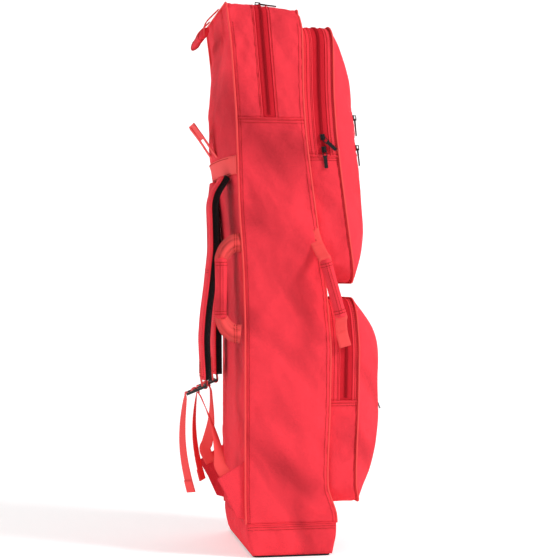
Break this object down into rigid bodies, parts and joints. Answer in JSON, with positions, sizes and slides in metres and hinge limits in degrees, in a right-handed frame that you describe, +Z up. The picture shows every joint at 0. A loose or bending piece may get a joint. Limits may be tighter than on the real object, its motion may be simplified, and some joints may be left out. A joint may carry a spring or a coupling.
{
  "type": "hockey equipment bag",
  "caption": "Tall red hockey kit bag standing on its base, with shoulder straps, carry handles and zipped pockets on the front.",
  "frame": {"origin": "centre of the base's underside", "axes": "+Z up, +Y towards the wearer's back (shoulder straps), -X the wearer's left"},
  "size_m": [0.3722, 0.4356, 1.1147],
  "materials": {
    "fabric": "woven polyester",
    "webbing": "ribbed webbing",
    "zip_tape": "woven tape and nylon coil",
    "zip_metal": "black enamel",
    "base_fabric": "coated fabric",
    "board": "stiff board",
    "mesh": "spacer mesh",
    "buckle": "moulded"
  },
  "bodies": {
    "bag": {"back_panel": "fabric", "front_panel": "fabric", "side_panel_left": "fabric", "side_panel_right": "fabric", "hood_back": "fabric", "hood_front": "fabric", "boot": "fabric", "base_panel": "base_fabric", "base_board": "board", "back_piping": "webbing", "front_piping": "webbing", "main_zip_tape": "zip_tape", "main_zip_chain": "zip_tape", "upper_pocket_face": "fabric", "upper_pocket_gusset": "fabric", "upper_pocket_lower_gusset": "fabric", "upper_pocket_flap": "fabric", "upper_pocket_zip": "zip_tape", "upper_pocket_piping": "webbing", "lower_pocket_face": "fabric", "lower_pocket_gusset": "fabric", "lower_pocket_lower_gusset": "fabric", "lower_pocket_flap": "fabric", "lower_pocket_zip": "zip_tape", "lower_pocket_piping": "webbing", "face_zips": "zip_tape", "yoke_band": "webbing", "anchor_wings": "fabric", "strap_webbing_left": "webbing", "strap_webbing_right": "webbing"},
    "main_slider": {"main_slider": "zip_metal"},
    "main_pull": {"main_pull": "zip_metal"},
    "upper_slider_high": {"upper_slider_high": "zip_metal"},
    "upper_slider_low": {"upper_slider_low": "zip_metal"},
    "upper_pull_high": {"upper_pull_high": "zip_metal"},
    "upper_pull_low": {"upper_pull_low": "zip_metal"},
    "lower_slider": {"lower_slider": "zip_metal"},
    "lower_pull": {"lower_pull": "zip_metal"},
    "face_slider_high": {"face_slider_high": "zip_metal"},
    "face_slider_low": {"face_slider_low": "zip_metal"},
    "face_pull_high": {"face_pull_high": "zip_metal"},
    "face_pull_low": {"face_pull_low": "zip_metal"},
    "front_slider_high": {"front_slider_high": "zip_metal"},
    "front_slider_low": {"front_slider_low": "zip_metal"},
    "front_pull_high": {"front_pull_high": "zip_metal"},
    "front_pull_low": {"front_pull_low": "zip_metal"},
    "haul_loop": {"haul_loop": "webbing"},
    "top_handle": {"top_handle_webbing": "webbing", "top_handle_grip": "fabric"},
    "back_handle": {"back_handle": "fabric"},
    "front_handle": {"front_handle": "fabric"},
    "strap_left": {"strap_cover_left": "fabric", "strap_foam_left": "mesh"},
    "strap_right": {"strap_cover_right": "fabric", "strap_foam_right": "mesh"},
    "buckle_left": {"buckle_left": "buckle"},
    "buckle_right": {"buckle_right": "buckle"},
    "tail_left": {"strap_tail_left": "webbing"},
    "tail_right": {"strap_tail_right": "webbing"}
  },
  "joints": [
    {"name": "main_slider_slide", "type": "slide", "parent": "bag", "child": "main_slider", "axis": [1, 0, 0], "range_m": [0, 0.264]},
    {"name": "main_pull_swing", "type": "hinge", "parent": "main_slider", "child": "main_pull", "pos_m": [-0.132, 0.06222, 1.11034], "axis": [-1, 0, 0], "range_deg": [0, 150]},
    {"name": "upper_slider_high_slide", "type": "slide", "parent": "bag", "child": "upper_slider_high", "axis": [0, 0.0517, 0.9987], "range_m": [0, 0.14]},
    {"name": "upper_pull_high_swing", "type": "hinge", "parent": "upper_slider_high", "child": "upper_pull_high", "pos_m": [-0.1554, -0.06558, 0.84062], "axis": [0, 0.6583, -0.7528], "range_deg": [0, 100]},
    {"name": "upper_slider_low_slide", "type": "slide", "parent": "bag", "child": "upper_slider_low", "axis": [0, 0.119, 0.9929], "range_m": [-0.006, 0.005]},
    {"name": "upper_pull_low_swing", "type": "hinge", "parent": "upper_slider_low", "child": "upper_pull_low", "pos_m": [-0.1554, -0.06858, 0.81562], "axis": [0, 0.9929, -0.119], "range_deg": [0, 150]},
    {"name": "lower_slider_slide", "type": "slide", "parent": "bag", "child": "lower_slider", "axis": [0, 0.0011, 1], "range_m": [0, 0.12]},
    {"name": "lower_pull_swing", "type": "hinge", "parent": "lower_slider", "child": "lower_pull", "pos_m": [0.1554, -0.11426, 0.3208], "axis": [0, -1, 0], "range_deg": [0, 150]},
    {"name": "face_slider_high_slide", "type": "slide", "parent": "bag", "child": "face_slider_high", "axis": [1, 0, 0], "range_m": [0, 0.11]},
    {"name": "face_pull_high_swing", "type": "hinge", "parent": "face_slider_high", "child": "face_pull_high", "pos_m": [-0.055, -0.15419, 0.89148], "axis": [-1, 0, 0], "range_deg": [0, 120]},
    {"name": "face_slider_low_slide", "type": "slide", "parent": "bag", "child": "face_slider_low", "axis": [1, 0, 0], "range_m": [0, 0.11]},
    {"name": "face_pull_low_swing", "type": "hinge", "parent": "face_slider_low", "child": "face_pull_low", "pos_m": [-0.055, -0.16021, 0.8292], "axis": [-1, 0, 0], "range_deg": [0, 120]},
    {"name": "front_slider_high_slide", "type": "slide", "parent": "bag", "child": "front_slider_high", "axis": [0, -0.0176, 0.9998], "range_m": [0, 0.08]},
    {"name": "front_pull_high_swing", "type": "hinge", "parent": "front_slider_high", "child": "front_pull_high", "pos_m": [0, -0.2093, 0.31371], "axis": [-1, 0, 0], "range_deg": [0, 100]},
    {"name": "front_slider_low_slide", "type": "slide", "parent": "bag", "child": "front_slider_low", "axis": [0, 0.0221, -0.9998], "range_m": [0, 0.08]},
    {"name": "front_pull_low_swing", "type": "hinge", "parent": "front_slider_low", "child": "front_pull_low", "pos_m": [0, -0.20891, 0.29269], "axis": [-1, 0, 0], "range_deg": [0, 30]},
    {"name": "top_handle_swing", "type": "hinge", "parent": "bag", "child": "top_handle", "pos_m": [0, 0.13788, 1.106], "axis": [1, 0, 0], "range_deg": [0, 138]},
    {"name": "haul_loop_swing", "type": "hinge", "parent": "bag", "child": "haul_loop", "pos_m": [0, 0.11032, 0.806], "axis": [1, 0, 0], "range_deg": [-40, 15]},
    {"name": "back_handle_swing", "type": "hinge", "parent": "bag", "child": "back_handle", "pos_m": [-0.15775, 0.10702, 0.538], "axis": [0, 0, 1], "range_deg": [-30, 90]},
    {"name": "front_handle_swing", "type": "hinge", "parent": "bag", "child": "front_handle", "pos_m": [-0.169, -0.077, 0.538], "axis": [0, 0.2756, 0.9613], "range_deg": [-30, 30]},
    {"name": "strap_left_swing", "type": "hinge", "parent": "bag", "child": "strap_left", "pos_m": [-0.088, 0.11999, 0.764], "axis": [1, 0, 0], "range_deg": [0, 25], "deforming": ["strap_webbing_left"]},
    {"name": "buckle_left_tilt", "type": "hinge", "parent": "strap_left", "child": "buckle_left", "pos_m": [-0.088, 0.166, 0.339], "axis": [1, 0, 0], "range_deg": [-14, 35]},
    {"name": "tail_left_swing", "type": "hinge", "parent": "buckle_left", "child": "tail_left", "pos_m": [-0.088, 0.20505, 0.32182], "axis": [1, 0, 0], "range_deg": [-14, 50]},
    {"name": "strap_right_swing", "type": "hinge", "parent": "bag", "child": "strap_right", "pos_m": [0.088, 0.11999, 0.764], "axis": [1, 0, 0], "range_deg": [0, 25], "deforming": ["strap_webbing_right"]},
    {"name": "buckle_right_tilt", "type": "hinge", "parent": "strap_right", "child": "buckle_right", "pos_m": [0.088, 0.12154, 0.339], "axis": [1, 0, 0], "range_deg": [-6, 35]},
    {"name": "tail_right_swing", "type": "hinge", "parent": "buckle_right", "child": "tail_right", "pos_m": [0.088, 0.16059, 0.32182], "axis": [1, 0, 0], "range_deg": [-8, 50]}
  ]
}
